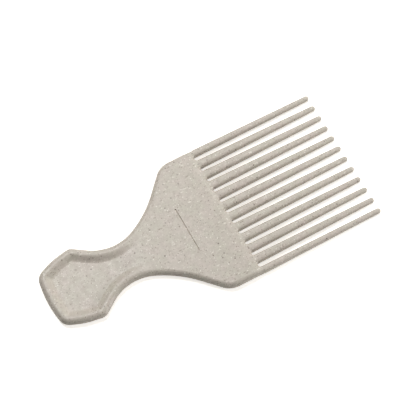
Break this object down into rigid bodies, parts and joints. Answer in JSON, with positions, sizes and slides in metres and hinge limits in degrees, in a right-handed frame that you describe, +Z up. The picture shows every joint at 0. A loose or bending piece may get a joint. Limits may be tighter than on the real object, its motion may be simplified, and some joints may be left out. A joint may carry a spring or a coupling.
{
  "type": "afro pick",
  "caption": "Wide-tooth afro pick: a dished grip with a raised rim, a narrow neck and a flared web that carries a row of long tapered round-tipped teeth.",
  "frame": {"origin": "on the flat back, half way along the pick and on its centre line", "axes": "+X from the grip to the tooth tips, +Y across the teeth, +Z up from the flat back"},
  "size_m": [0.164, 0.0734, 0.005],
  "materials": {
    "straw_plastic": "matte to satin, pale beige-grey, with fine brown and pale straw specks"
  },
  "bodies": {
    "root": {"grip_rim": "straw_plastic", "grip_floor": "straw_plastic", "neck": "straw_plastic", "web": "straw_plastic", "root_bar": "straw_plastic", "tooth_01": "straw_plastic", "tooth_02": "straw_plastic", "tooth_03": "straw_plastic", "tooth_04": "straw_plastic", "tooth_05": "straw_plastic", "tooth_06": "straw_plastic", "tooth_07": "straw_plastic", "tooth_08": "straw_plastic", "tooth_09": "straw_plastic", "tooth_10": "straw_plastic", "tooth_11": "straw_plastic", "tooth_12": "straw_plastic"}
  },
  "joints": []
}
